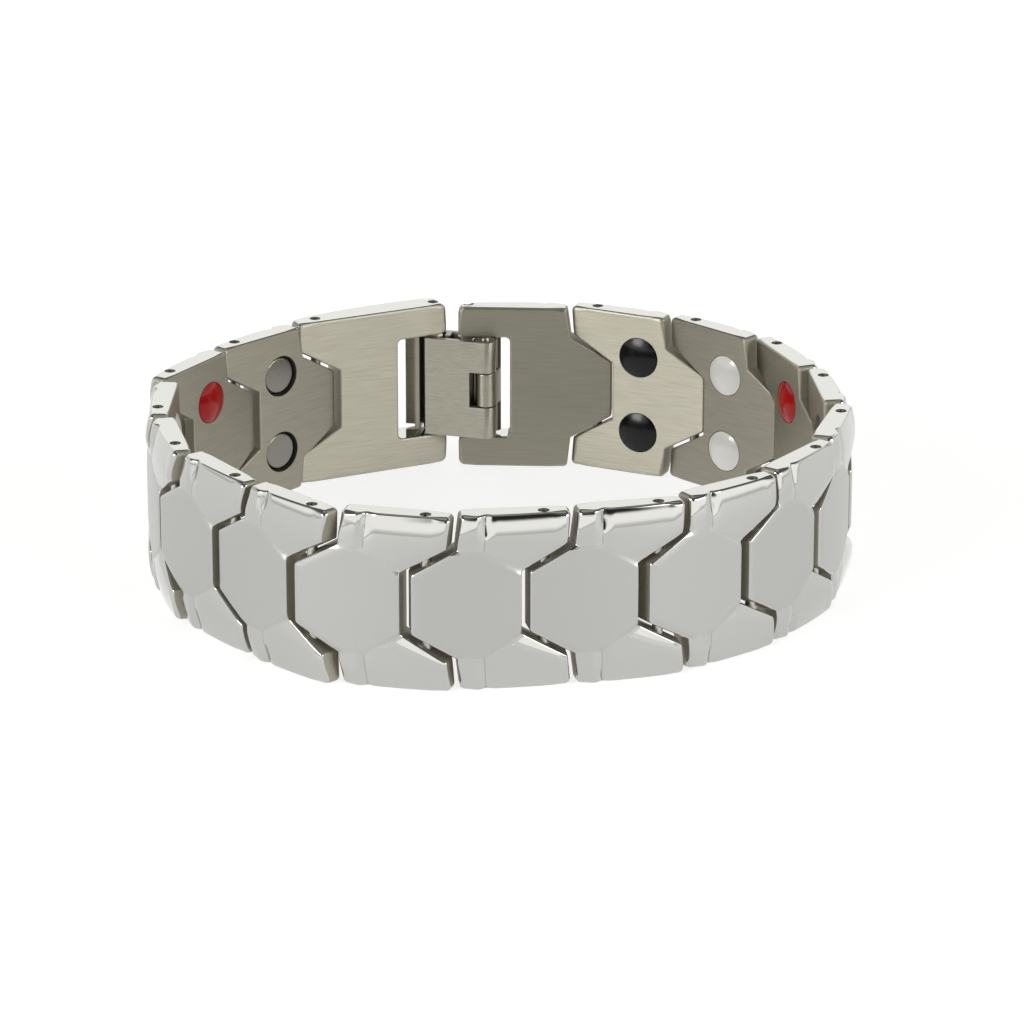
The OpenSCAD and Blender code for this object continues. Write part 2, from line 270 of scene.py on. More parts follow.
def nose_satin(points):
    """0 on the nose's polished border and 1 past it."""
    return soft_step(nose_distance(turned_up(points)) - NOSE_POLISH, NOSE_POLISH)


def link_hexagon(points):
    """Signed distance into a link's hexagon."""
    p = turned_up(points)
    return np.minimum(HEXAGON_Z - p[:, 1], hexagon_right(p, PITCH))


def link_outer(points):
    """Height of a link's outer face."""
    p = turned_up(points)
    u, z = points[:, 0], points[:, 1]
    face = crown(u, (PITCH + WING_REACH - NOSE_REACH) / 2, OUTER_T)
    wing = face - HEXAGON_RISE - rim_drop(z, wing_band(u, PITCH + WING_REACH))
    wing -= np.maximum(notch_bevel(p, PITCH), corner_hollow(p, PITCH, link_hexagon(points)))
    wing += wing_start(u, z) + wing_end(u)
    height = wing + (face - wing) * soft_step(link_hexagon(points), HEXAGON_EDGE)
    return height - nose_drop(nose_distance(p))


def link_satin(points):
    """1 where a link is satin and 0 where it is polished."""
    return soft_step(link_hexagon(points), SATIN_EDGE) * nose_satin(points)


def crease_painted_shade(points):
    """1 on the painted shade line along the groove of the wings, where the colour is darkened to stand
    in for the groove's shade, and 0 away from it.
    """
    from_line = np.abs(points[:, 0] - groove_lean(points[:, 1]) - CREASE_X)
    return np.clip(1 - from_line / CREASE_SHADE_WIDTH, 0, 1) * (np.abs(points[:, 1]) > HEXAGON_Z)


def left_hexagon(points):
    """Signed distance into the left end link's half hexagon."""
    p = turned_up(points)
    side = -line_side(p, (LEFT_HEXAGON_X, HEXAGON_Z), (LEFT_END_L - NOTCH_REACH, NOTCH_FLAT_Z))
    return np.minimum(HEXAGON_Z - p[:, 1], side)


def left_outer(points):
    """Height of the left end link's outer face."""
    p = turned_up(points)
    u, z = points[:, 0], points[:, 1]
    face = crown(u, LEFT_CROWN_X, LEFT_END_T)
    wing = face - HEXAGON_RISE - rim_drop(z)
    wing -= np.maximum(notch_bevel(p, LEFT_END_L), corner_hollow(p, LEFT_END_L, left_hexagon(points)))
    wing += profile(u, LEFT_TIP_STATIONS) + wing_end(u, LEFT_END_L - PITCH)
    return wing + (face - wing) * soft_step(left_hexagon(points), HEXAGON_EDGE)


def left_satin(points):
    return soft_step(left_hexagon(points), SATIN_EDGE)


def right_hexagon(points):
    """Signed distance into the right end link's satin band."""
    return HEXAGON_Z - np.abs(points[:, 1])


def right_outer(points):
    """Height of the right end link's outer face."""
    p = turned_up(points)
    u, z = points[:, 0], points[:, 1]
    face = crown(u, (RIGHT_END_L + TIP_REACH - NOSE_REACH) / 2, OUTER_T)
    wing = face - HEXAGON_RISE - rim_drop(z)
    wing += wing_start(u, z) + wing_end(u, RIGHT_TIP_SHIFT)
    height = wing + (face - wing) * soft_step(right_hexagon(points), HEXAGON_EDGE)
    return height - nose_drop(nose_distance(p))


def right_satin(points):
    return soft_step(right_hexagon(points), SATIN_EDGE) * nose_satin(points)


# Outlines: half of the corners as (u, z, corner radius), along the lower half from left to right
NOSE_CORNERS = [(-NOSE_REACH, -NOSE_Z, 0.5), (HEXAGON_X, -RIM_Z, 0.12), (WING_START, -HALF_H, 0.45)]


def notch_corners(pin):
    return [
        (pin + WING_REACH, -HALF_H, 0.5),
        (pin + WING_REACH - MOUTH_BACK, -MOUTH_Z, 0.25),
        (pin - NOTCH_REACH, -NOTCH_FLAT_Z, 0.12),
    ]


def window_corners(pin, side, depth):
    """Corners of a tip and its window. side is -1 for a tip at the left and 1 for one at the right."""
    tip = pin + side * TIP_REACH
    return [(tip, -HALF_H, 0.7), (tip, -WINDOW_Z, 0.6), (pin - side * depth, -WINDOW_Z, 0.5)]


LINK_CORNERS = NOSE_CORNERS + notch_corners(PITCH)
LEFT_CORNERS = window_corners(0, -1, LEFT_WINDOW)[::-1] + notch_corners(LEFT_END_L)
RIGHT_CORNERS = NOSE_CORNERS + window_corners(RIGHT_END_L, 1, RIGHT_WINDOW)


def outline(half, spacing=0.3, arc=math.radians(15)):
    """Closed outline with rounded corners, counterclockwise: its points and their outward normals."""
    corners = half + [(u, -z, r) for u, z, r in reversed(half)]
    points, normals = [], []
    arcs = []
    for i, (u, z, r) in enumerate(corners):
        here = np.array([u, z])
        back = np.array(corners[i - 1][:2]) - here
        on = np.array(corners[(i + 1) % len(corners)][:2]) - here
        back, on = back / np.linalg.norm(back), on / np.linalg.norm(on)
        turn = math.pi - math.acos(np.clip(back @ on, -1, 1))
        left = -back[0] * on[1] + back[1] * on[0] > 0
        start = here + back * r * math.tan(turn / 2)
        normal = np.array([-back[1], back[0]])
        centre = start - normal * r * (1 if left else -1)
        steps = max(2, math.ceil(turn / arc))
        corner = []
        for k in range(steps + 1):
            a = turn * k / steps * (1 if left else -1)
            n = np.array([normal[0] * math.cos(a) - normal[1] * math.sin(a),
                          normal[0] * math.sin(a) + normal[1] * math.cos(a)])
            corner.append((centre + n * r * (1 if left else -1), n))
        arcs.append(corner)
    for i, corner in enumerate(arcs):
        points += [p for p, n in corner]
        normals += [n for p, n in corner]
        a, n = corner[-1]
        b = arcs[(i + 1) % len(arcs)][0][0]
        count = math.ceil(np.linalg.norm(b - a) / spacing)
        points += [a + (b - a) * k / count for k in range(1, count)]
        normals += [n] * (count - 1)
    return np.array(points), np.array(normals)


def inside_distance(points, loop):
    """Distance of each point from a closed loop, below 0 outside it."""
    nearest = np.full(len(points), np.inf)
    crossings = np.zeros(len(points), int)
    for a, b in zip(loop, np.roll(loop, -1, axis=0)):
        nearest = np.minimum(nearest, segment_distance(points, a, b))
        straddles = (a[1] > points[:, 1]) != (b[1] > points[:, 1])
        with np.errstate(divide="ignore", invalid="ignore"):
            at = a[0] + (points[:, 1] - a[1]) * (b[0] - a[0]) / (b[1] - a[1])
        crossings += straddles & (points[:, 0] < at)
    return np.where(crossings % 2 == 1, nearest, -nearest)


def surface_normals(height, points, step=0.004):
    """Normals (u, z, w) of a height field."""
    du = height(points + [step, 0]) - height(points - [step, 0])
    dz = height(points + [0, step]) - height(points - [0, step])
    normals = np.column_stack((-du, -dz, np.full(len(points), 2 * step)))
    return normals / np.linalg.norm(normals, axis=1)[:, None]


def adaptive_points(height, loop, cell, finest, bend):
    """Grid points inside a loop, closer together where the surface turns by more than bend."""
    low, high = loop.min(0) - 0.01, loop.max(0)
    counts = np.ceil((high - low) / cell).astype(int)
    grid = np.stack(np.meshgrid(np.arange(counts[0]), np.arange(counts[1]), indexing="ij"), -1)
    cells = low + grid.reshape(-1, 2) * cell
    places = np.array(((0, 0), (1, 0), (0, 1), (1, 1), (0.5, 0), (0, 0.5), (0.5, 1), (1, 0.5)))
    found = []
    size = cell
    while len(cells):
        found += [cells + size * p for p in places[:4]]
        if size / 2 < finest:
            break
        middle = surface_normals(height, cells + size / 2)
        likeness = [np.sum(middle * surface_normals(height, cells + size * p), axis=1) for p in places]
        split = cells[np.min(likeness, axis=0) < math.cos(bend)]
        size /= 2
        cells = np.concatenate([split + size * p for p in places[:4]])
    unique = np.unique(np.round(np.concatenate(found), 6), axis=0)
    return unique[inside_distance(unique, loop) > 0.6 * finest]


ROUND_STEPS = [math.radians(a) for a in (0, 18, 36, 54, 72, 90)]


def edge_radii(loop, radii):
    """Radius of the rounded edge at each point of a plate's outline."""
    rim, end, side = radii
    ends = loop[np.abs(loop[:, 1]) > HALF_H - 0.1][:, 0]
    from_end = np.minimum(loop[:, 0] - ends.min(), ends.max() - loop[:, 0])
    middle, length = EDGE_CHANGE_Z
    near_rim = soft_step(np.abs(loop[:, 1]) - middle, length)
    middle, length = EDGE_CHANGE_END
    near_end = soft_step(middle - from_end, length)
    return (side + near_rim * (rim - side + (end - rim) * near_end))[:, None]


def face_side(height, loop, loop_normals, radii, detail):
    """One face of a plate, with its edge rounded. Returns (u, z, w) points, normals and polygons.
    The first len(loop) points are the edge that the side wall joins."""
    points, normals, polygons = [], [], []
    count = len(loop)
    edge = edge_radii(loop, radii)
    for a in ROUND_STEPS:
        ring = loop - loop_normals * edge * (1 - math.cos(a))
        depth = edge[:, 0] * (1 - math.sin(a))
        points.append(np.column_stack((ring, height(ring) - depth)))
        side = np.column_stack((loop_normals, np.zeros(count))) * math.cos(a)
        normals.append(side + surface_normals(height, ring) * math.sin(a))
    for k in range(len(ROUND_STEPS) - 1):
        for i in range(count):
            j = (i + 1) % count
            polygons.append((k * count + i, k * count + j, (k + 1) * count + j, (k + 1) * count + i))
    last = (len(ROUND_STEPS) - 1) * count
    inner_loop = points[-1][:, :2]
    middle = adaptive_points(height, inner_loop, COARSE_CELL, *detail)
    flat = [Vector(p) for p in np.concatenate((inner_loop, middle))]
    edges = [(i, (i + 1) % count) for i in range(count)]
    verts, _, triangles, originals, _, _ = geometry.delaunay_2d_cdt(flat, edges, [], 1, 1e-7)
    if len(verts) != len(flat):
        raise ValueError("the triangulation added points")
    order = [o[0] for o in originals]
    points.append(np.column_stack((middle, height(middle))))
    normals.append(surface_normals(height, middle))
    for triangle in triangles:
        polygons.append(tuple(last + order[i] for i in triangle))
    points, normals = np.concatenate(points), np.concatenate(normals)
    return points, normals / np.linalg.norm(normals, axis=1)[:, None], polygons


def cylinder(name, radius, start, end, segments=48):
    """Closed cylinder from start to end, in metres."""
    start, end = Vector(start), Vector(end)
    axis = (end - start).normalized()
    side = axis.orthogonal().normalized()
    other = axis.cross(side)
    ring = [radius * (side * math.cos(t) + other * math.sin(t))
            for t in (2 * math.pi * i / segments for i in range(segments))]
    verts = [start + r for r in ring] + [end + r for r in ring]
    faces = []
    for i in range(segments):
        j = (i + 1) % segments
        faces.append((i, j, segments + j, segments + i))
    faces += [tuple(reversed(range(segments))), tuple(range(segments, 2 * segments))]
    mesh = bpy.data.meshes.new(name)
    mesh.from_pydata(verts, [], faces)
    return mesh


def flat_inner(points):
    return np.full(len(points), INNER_T)


def plate_mesh(name, corners, outer, satin, paint_crease_shade, bores, magnets, materials):
    """Mesh of a link or end link between its outer face and its flat inner face, with its bores.
    Its crease flag says whether its wings get the painted shade line along the groove at the crease."""
    loop, loop_normals = outline(corners)
    front, front_n, front_p = face_side(outer, loop, loop_normals, OUTER_EDGES, OUTER_DETAIL)
    back, back_n, back_p = face_side(flat_inner, loop, loop_normals, INNER_EDGES, INNER_DETAIL)
    shift = len(front)
    verts = np.concatenate((
        np.column_stack((front[:, 0], -front[:, 2], front[:, 1])),
        np.column_stack((back[:, 0], back[:, 2], back[:, 1])),
    )) * MM
    normals = np.concatenate((
        np.column_stack((front_n[:, 0], -front_n[:, 2], front_n[:, 1])),
        np.column_stack((back_n[:, 0], back_n[:, 2], back_n[:, 1])),
    ))
    polygons = list(front_p)
    polygons += [tuple(shift + i for i in reversed(p)) for p in back_p]
    count = len(loop)
    for i in range(count):
        j = (i + 1) % count
        polygons.append((i, shift + i, shift + j, j))
    mesh = bpy.data.meshes.new(name)
    mesh.from_pydata(verts.tolist(), [], polygons)
    mesh.validate()
    mesh = drilled(mesh, bores, magnets, materials)
    finish_plate(mesh, verts, normals, satin, paint_crease_shade)
    return mesh


def drilled(mesh, bores, magnets, materials):
    """The mesh with its pin bores and magnet bores cut out."""
    plate = bpy.data.objects.new(mesh.name, mesh)
    bpy.context.scene.collection.objects.link(plate)
    for m in materials:
        mesh.materials.append(m)
    cutters = []
    reach = (HALF_H + 0.5) * MM
    for u in bores:
        cutters.append(cylinder("bore", BORE_R * MM, (u * MM, 0, -reach), (u * MM, 0, reach)))
    if magnets:
        for z in (-MAGNET_Z, MAGNET_Z):
            start = (MAGNET_X * MM, (INNER_T - MAGNET_DEPTH) * MM, z * MM)
            end = (MAGNET_X * MM, (INNER_T + 1) * MM, z * MM)
            cutters.append(cylinder("magnet_bore", MAGNET_BORE_R * MM, start, end, 64))
    for k, cutter in enumerate(cutters):
        for m in materials:
            cutter.materials.append(m)
        for p in cutter.polygons:
            p.material_index = len(materials) - 1
        tool = bpy.data.objects.new(f"cutter_{k}", cutter)
        bpy.context.scene.collection.objects.link(tool)
        cut = plate.modifiers.new(f"cut_{k}", "BOOLEAN")
        cut.object = tool
        cut.operation = "DIFFERENCE"
        cut.solver = "EXACT"
    graph = bpy.context.evaluated_depsgraph_get()
    result = bpy.data.meshes.new_from_object(plate.evaluated_get(graph))
    result.name = mesh.name
    for o in [plate] + [m.object for m in plate.modifiers]:
        bpy.data.objects.remove(o)
    return result


# Parts of a plate by the normals of its faces, whose y points inwards: how upright they are at a rim,
# and how far inwards they point on the inner face, at a rim's inner edge and on the walls of the gaps
RIM_FROM = 0.9
INNER_FROM = 0.98
RIM_INNER_FROM = 0.7
WALL_FROM = -0.12


def plate_part(normal):
    """Place in PLATE_STEELS of a plate's face: 1 inside and on the lower half of a rim's inner edge,
    2 on the walls of the gaps and their inner edges, else 0."""
    by_rim = abs(normal.z) > RIM_FROM * math.hypot(normal.x, normal.z)
    if normal.y > (RIM_INNER_FROM if by_rim else INNER_FROM):
        return 1
    return 2 if not by_rim and normal.y > WALL_FROM else 0


def finish_plate(mesh, verts, normals, satin, paint_crease_shade):
    """Gives the faces their materials, the points their finish and the painted shade line along the
    crease, and the corners their normals.
    """
    tree = kdtree.KDTree(len(verts))
    for i, v in enumerate(verts):
        tree.insert(Vector(v), i)
    tree.balance()
    bore = len(mesh.materials) - 1
    places = np.array([v.co for v in mesh.vertices])
    flat_places = places[:, [0, 2]] / MM
    finish = satin(flat_places) * (places[:, 1] <= 0)
    # The crease attribute holds the painted shade line along the groove at the crease, on the outer face
    painted_crease_shade = crease_painted_shade(flat_places) * (places[:, 1] < 0) * paint_crease_shade
    for label, values in (("satin", finish), ("crease", painted_crease_shade)):
        attribute = mesh.attributes.new(label, "FLOAT", "POINT")
        attribute.data.foreach_set("value", values.astype(np.float32))
    known = []
    for v in mesh.vertices:
        _, index, distance = tree.find(v.co)
        known.append(Vector(normals[index]) if distance < 1e-7 else None)
    corners = []
    for p in mesh.polygons:
        p.use_smooth = True
        flat = p.normal
        if p.material_index != bore:
            p.material_index = plate_part(flat)
        for v in p.vertices:
            usable = p.material_index != bore and known[v] is not None
            corners.append(known[v] if usable else flat)
    mesh.normals_split_custom_set(corners)


# Materials: the share by which the satin parts are darker, the depth of the painted shade line along
# the crease, and the range of the tone in the grain of a fanned steel
SATIN_SHADE = 0.07
CREASE_PAINTED_SHADE = 0.3
GRAIN_TONE = (0.85, 1.1)


def node_adder(tree):
    """A short way to add a node to a tree, with its settings and the values or links of its inputs."""

    def add(kind, inputs=None, **settings):
        node = tree.nodes.new(kind)
        for key, value in settings.items():
            setattr(node, key, value)
        for key, value in (inputs or {}).items():
            if isinstance(value, bpy.types.NodeSocket):
                tree.links.new(value, node.inputs[key])
            else:
                node.inputs[key].default_value = value
        return node

    return add


def node_material(name):
    """A material with only a Principled shader, and short ways to add nodes and join them to it."""
    material = bpy.data.materials.new(name)
    material.use_nodes = True
    tree = material.node_tree
    shader = tree.nodes["Principled BSDF"]

    def join(source, target):
        tree.links.new(source, shader.inputs[target])

    return material, shader, node_adder(tree), join


def steel(name, color, rough, grain, bump=0.0000015, uneven=0.06, polished=None, fan=0.0):
    """Steel with a brushed grain. grain is the stretch of the noise along x, y and z, and uneven is how
    far the grain changes the roughness. polished is the roughness where a plate isn't satin, where the
    colour is darker on the satin parts and carries the painted shade along the crease. fan spreads the
    gloss up and down, across a grain that runs along the band."""
    material, shader, add, join = node_material(name)
    shader.inputs["Metallic"].default_value = 1
    shader.inputs["Base Color"].default_value = (*color, 1)
    place = add("ShaderNodeTexCoord").outputs["Object"]
    scaled = add("ShaderNodeMapping", {"Vector": place, "Scale": [s / MM for s in grain]})
    noise = add("ShaderNodeTexNoise", {"Vector": scaled.outputs[0], "Scale": 1.0, "Detail": 4.0})
    height = noise.outputs["Fac"]

    def along_grain(low, high):
        inputs = {"Value": noise.outputs["Fac"], "From Min": 0.3, "From Max": 0.7}
        return add("ShaderNodeMapRange", {**inputs, "To Min": low, "To Max": high}).outputs[0]

    def tint(tone):
        tinted = add("ShaderNodeVectorMath", {0: color, "Scale": tone}, operation="SCALE")
        join(tinted.outputs[0], "Base Color")

    roughness = along_grain(rough - uneven, rough + uneven)
    if polished is not None:
        share = add("ShaderNodeAttribute", attribute_name="satin").outputs["Fac"]
        mixed = {"Value": share, "To Min": polished, "To Max": roughness}
        roughness = add("ShaderNodeMapRange", mixed).outputs[0]
        height = add("ShaderNodeMath", {0: height, 1: share}, operation="MULTIPLY").outputs[0]
        # The crease attribute darkens the colour along the groove at the crease: painted shade
        crease = add("ShaderNodeAttribute", attribute_name="crease").outputs["Fac"]
        satin_tone_and_painted_shade = 1.0
        for darkened, amount in ((share, SATIN_SHADE), (crease, CREASE_PAINTED_SHADE)):
            inputs = {0: darkened, 1: -amount, 2: satin_tone_and_painted_shade}
            satin_tone_and_painted_shade = add("ShaderNodeMath", inputs, operation="MULTIPLY_ADD").outputs[0]
        tint(satin_tone_and_painted_shade)
    join(roughness, "Roughness")
    if fan:
        shader.inputs["Anisotropic"].default_value = fan
        settings = {"vector_type": "VECTOR", "convert_from": "OBJECT", "convert_to": "WORLD"}
        join(add("ShaderNodeVectorTransform", {"Vector": (0, 0, 1)}, **settings).outputs[0], "Tangent")
        tint(along_grain(*GRAIN_TONE))
    bumped = add("ShaderNodeBump", {"Height": height, "Distance": bump, "Strength": 1.0})
    join(bumped.outputs[0], "Normal")
    return material


def glossy(name, color, level=0.5, coat=0.6, rough=0.12):
    """Glossy moulded or enamelled surface with a faint unevenness."""
    material, shader, add, join = node_material(name)
    shader.inputs["Base Color"].default_value = (*color, 1)
    shader.inputs["Roughness"].default_value = rough
    shader.inputs["Specular IOR Level"].default_value = level
    shader.inputs["Coat Weight"].default_value = coat
    shader.inputs["Coat Roughness"].default_value = 0.04
    place = add("ShaderNodeTexCoord").outputs["Object"]
    noise = add("ShaderNodeTexNoise", {"Vector": place, "Scale": 0.8 / MM, "Detail": 2.0})
    relief = {"Height": noise.outputs["Fac"], "Distance": 0.00001, "Strength": 0.5}
    join(add("ShaderNodeBump", relief).outputs[0], "Normal")
    return material


UPRIGHT_GRAIN = (12, 12, 0.25)
BAND_GRAIN = (0.3, 11, 11)
FINE_GRAIN = (10, 10, 10)
DEEP_BRUSH = 0.000003
PLAIN = {"grain": (1, 1, 1), "bump": 0.0, "uneven": 0.01}
OUTER_STEEL = steel("outer_steel", (0.488, 0.486, 0.47), 0.34, UPRIGHT_GRAIN, polished=0.06)
INNER_STEEL = steel("inner_steel", (0.375, 0.356, 0.296), 0.42, BAND_GRAIN, DEEP_BRUSH, fan=0.85)
# The walls of the gaps are a rough satin steel, and their colour is darker than the outer steel as
# painted shade in the gaps
WALL_STEEL_PAINTED_SHADE = steel("wall_steel_painted_shade", (0.37, 0.353, 0.295), 0.62, **PLAIN)
# The bores' walls are darker than the steel round them: painted shade in the pin holes and in the dark
# rings round the inserts
BORE_STEEL_PAINTED_SHADE = steel("bore_painted_shade", (0.30, 0.29, 0.26), 0.45, **PLAIN)
PLATE_STEELS = [OUTER_STEEL, INNER_STEEL, WALL_STEEL_PAINTED_SHADE, BORE_STEEL_PAINTED_SHADE]
PIN_STEEL = steel("pin_steel", (0.52, 0.505, 0.46), 0.36, FINE_GRAIN)
CLASP_STEEL = steel("clasp_steel", (0.41, 0.393, 0.33), 0.34, BAND_GRAIN, DEEP_BRUSH, fan=0.8)
DISC_STEEL = steel("disc_steel", (0.24, 0.232, 0.205), 0.28, **PLAIN)
RED = glossy("red_enamel", (0.27, 0.003, 0.003), 0.2, 0.05)
WHITE = glossy("white_enamel", (0.56, 0.556, 0.535))
BLACK = glossy("black_enamel", (0.001, 0.001, 0.0015), 0.3, 0.0, 0.2)


# Places of the pieces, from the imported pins
def centre(node):
    low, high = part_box(node)
    return (low + high) / 2


pins = [centre("clasp_pin_left")]
pins += [centre(f"hinge_pin_{k:02d}") for k in range(LINKS + 1)]
pins += [centre("clasp_pin_right")]


def placed(name, mesh, matrix, body, slot, *nodes):
    """A piece in place, riding on its body and standing for its nodes."""
    piece = bpy.data.objects.new(name, mesh)
    bpy.context.scene.collection.objects.link(piece)
    piece.matrix_world = matrix
    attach(piece, body)
    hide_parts(*nodes)
    return piece


def piece_matrix(k):
    """Frame of piece k: x from its first pin to its second, y inwards."""
    start, end = pins[k], pins[k + 1]
    along = Vector((end.x - start.x, end.y - start.y, 0)).normalized()
    inward = Vector((-along.y, along.x, 0))
    rotation = Matrix((along, inward, Vector((0, 0, 1)))).transposed().to_4x4()
    return Matrix.Translation(start) @ rotation


link_mesh = plate_mesh(
    "link_form", LINK_CORNERS, link_outer, link_satin,
    paint_crease_shade=True, bores=(0, PITCH), magnets=True, materials=PLATE_STEELS,
)
for k in range(1, LINKS + 1):
    placed(f"steel_link_{k:02d}", link_mesh, piece_matrix(k), "band", "link_steel", f"link_{k:02d}")
left_mesh = plate_mesh(
    "left_end_form", LEFT_CORNERS, left_outer, left_satin,
    paint_crease_shade=False, bores=(0, LEFT_END_L), magnets=False, materials=PLATE_STEELS,
)
placed("steel_end_left", left_mesh, piece_matrix(0), "band", "link_steel", "clasp_end_left")
right_mesh = plate_mesh(
    "right_end_form", RIGHT_CORNERS, right_outer, right_satin,
    paint_crease_shade=True, bores=(0, RIGHT_END_L), magnets=False, materials=PLATE_STEELS,
)
placed("steel_end_right", right_mesh, piece_matrix(LINKS + 1), "band", "link_steel", "clasp_end_right")


# Inserts, whose foot is this high over the inner face
INSERT_FOOT = -1.5


def lathe(name, profile_points, material, segments=64):
    """Pair of turned inserts from (radius, height over the inner face) points, outermost first."""
    verts, faces = [], []
    for z in (-MAGNET_Z, MAGNET_Z):
        base = len(verts)
        for r, h in profile_points:
            for i in range(segments):
                t = 2 * math.pi * i / segments
                verts.append((MAGNET_X + r * math.cos(t), INNER_T + h, z + r * math.sin(t)))
        rows = len(profile_points)
        for k in range(rows - 1):
            for i in range(segments):
                j = (i + 1) % segments
                a, b = base + k * segments, base + (k + 1) * segments
                faces.append((a + j, a + i, b + i, b + j))
        faces.append(tuple(base + i for i in range(segments)))
        faces.append(tuple(base + (rows - 1) * segments + i for i in reversed(range(segments))))
    mesh = bpy.data.meshes.new(name)
    mesh.from_pydata([Vector(v) * MM for v in verts], [], faces)
    mesh.materials.append(material)
    mesh.shade_smooth()
    mesh.set_sharp_from_angle(angle=math.radians(40))
    return mesh


def dome_profile():
    """Shallow dome that starts a share of the way in from the top of its straight side."""
    rise = 0.48
    radius = 2.06
    side = 0.12
    start = 0.985
    steps = 16
    points = [(radius, INSERT_FOOT), (radius, -side)]
    sphere = (radius**2 + rise**2) / (2 * rise)
    rim = start * math.asin(radius / sphere)
    for k in range(steps):
        a = rim * (1 - k / steps)
        points.append((sphere * math.sin(a), rise - sphere + sphere * math.cos(a)))
    return points


def disc_profile():
    """Flat disc with a rounded edge, under the inner face."""
    radius = 1.84
    depth = 0.27
    edge = 0.2
    steps = 6
    points = [(radius, INSERT_FOOT)]
    for k in range(steps + 1):
        a = math.pi / 2 * k / steps
        points.append((radius - edge * (1 - math.cos(a)), -depth - edge * (1 - math.sin(a))))
    return points


INSERTS = [
    ("disc_steel", lathe("disc_form", disc_profile(), DISC_STEEL)),
    ("red_dome", lathe("red_form", dome_profile(), RED)),
    ("white_dome", lathe("white_form", dome_profile(), WHITE)),
    ("black_dome", lathe("black_form", dome_profile(), BLACK)),
]
for k in range(1, LINKS + 1):
    slot, mesh = INSERTS[(k - 1) % len(INSERTS)]
    placed(f"insert_pair_{k:02d}", mesh, piece_matrix(k), "band", slot, f"magnet_{k:02d}")


# Clasp and pins
def softened(name, node, width, body, slot, material):
    """A copy of a node's shape with its sharp edges rounded."""
    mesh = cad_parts[node].data.copy()
    mesh.name = name
    mesh.shade_smooth()
    mesh.materials.clear()
    mesh.materials.append(material)
    piece = placed(name, mesh, Matrix.Identity(4), body, slot, node)
    weld = piece.modifiers.new("weld", "WELD")
    weld.merge_threshold = 0.000002
    flat = piece.modifiers.new("flat", "DECIMATE")
    flat.decimate_type = "DISSOLVE"
    flat.angle_limit = math.radians(1)
    edge = piece.modifiers.new("edge", "BEVEL")
    edge.width = width * MM
    edge.segments = 3
    edge.limit_method = "ANGLE"
    edge.angle_limit = math.radians(35)
    edge.harden_normals = True
    even = piece.modifiers.new("even", "WEIGHTED_NORMAL")
    even.weight = 80
    graph = bpy.context.evaluated_depsgraph_get()
    rounded = bpy.data.meshes.new_from_object(piece.evaluated_get(graph))
    piece.modifiers.clear()
    piece.data = rounded


softened("leaf_plate", "clasp_leaf", 0.08, "band", "clasp_steel", CLASP_STEEL)
softened("lever_plate", "clasp_lever", 0.10, "lever", "clasp_steel", CLASP_STEEL)
softened("left_bar", "clasp_pin_left", 0.05, "band", "pin_steel", PIN_STEEL)
for name in ["clasp_pin_right", "clasp_hinge_pin"] + [f"hinge_pin_{k:02d}" for k in range(LINKS + 1)]:
    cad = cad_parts[name]
    cad.data.materials.clear()
    cad.data.materials.append(PIN_STEEL)


# Floor, light and camera
def floor_material():
    material, shader, add, join = node_material("floor_white")
    shader.inputs["Base Color"].default_value = (0.4, 0.4, 0.4, 1)
    shader.inputs["Roughness"].default_value = 0.7
    shader.inputs["Emission Color"].default_value = (1, 1, 1, 1)
    shader.inputs["Emission Strength"].default_value = 0.74
    return material


FLOOR_REACH = 3.0
floor_corners = [(x * FLOOR_REACH, y * FLOOR_REACH, 0) for x, y in ((-1, -1), (1, -1), (1, 1), (-1, 1))]
floor_mesh = bpy.data.meshes.new("floor")
floor_mesh.from_pydata(floor_corners, [], [(0, 1, 2, 3)])
floor_mesh.materials.append(floor_material())
floor = bpy.data.objects.new("floor", floor_mesh)
bpy.context.scene.collection.objects.link(floor)

world = bpy.data.worlds.new("studio")
bpy.context.scene.world = world
world.use_nodes = True
sky = world.node_tree
add_to_sky = node_adder(sky)


def sky_node(kind, inputs, **settings):
    """The first output of a new node."""
    return add_to_sky(kind, inputs, **settings).outputs[0]


def sky_math(operation, *values):
    return sky_node("ShaderNodeMath", dict(enumerate(values)), operation=operation)


def sky_mix(first, second, share):
    """Goes from first to second while share goes from 0 to 1."""
    return sky_math("ADD", first, sky_math("MULTIPLY", share, sky_math("SUBTRACT", second, first)))


def sky_step(value, low, high):
    """Goes smoothly from 0 to 1 while value goes from low to high."""
    inputs = {"Value": value, "From Min": low, "From Max": high, "To Min": 0.0, "To Max": 1.0}
    return sky_node("ShaderNodeMapRange", inputs, interpolation_type="SMOOTHSTEP")


def sky_band(value, low, high, soft):
    """1 between low and high, and 0 beyond soft outside them."""
    rising = sky_step(value, low - soft, low)
    return sky_math("MULTIPLY", rising, sky_math("SUBTRACT", 1.0, sky_step(value, high, high + soft)))


# Degrees above the floor, and degrees to the right of the front
direction = sky_node("ShaderNodeTexCoord", {})
sky_x, sky_y, sky_z = add_to_sky("ShaderNodeSeparateXYZ", {0: direction}).outputs
level = sky_math("DEGREES", sky_math("ARCSINE", sky_z))
turn = sky_math("DEGREES", sky_math("ARCTAN2", sky_x, sky_math("MULTIPLY", sky_y, -1.0)))


def sky_round(stops):
    """Brightness by direction round the object, from (degrees to the right of the front, brightness)."""
    share = sky_node("ShaderNodeMapRange", {"Value": turn, "From Min": -180.0, "From Max": 180.0})
    node = add_to_sky("ShaderNodeValToRGB", {0: share})
    elements = node.color_ramp.elements
    while len(elements) < len(stops):
        elements.new(0.5)
    for element, (place, brightness) in zip(elements, stops):
        element.position = (place + 180) / 360
        element.color = (brightness / 2, brightness / 2, brightness / 2, 1)
    return sky_math("MULTIPLY", node.outputs[0], 2.0)


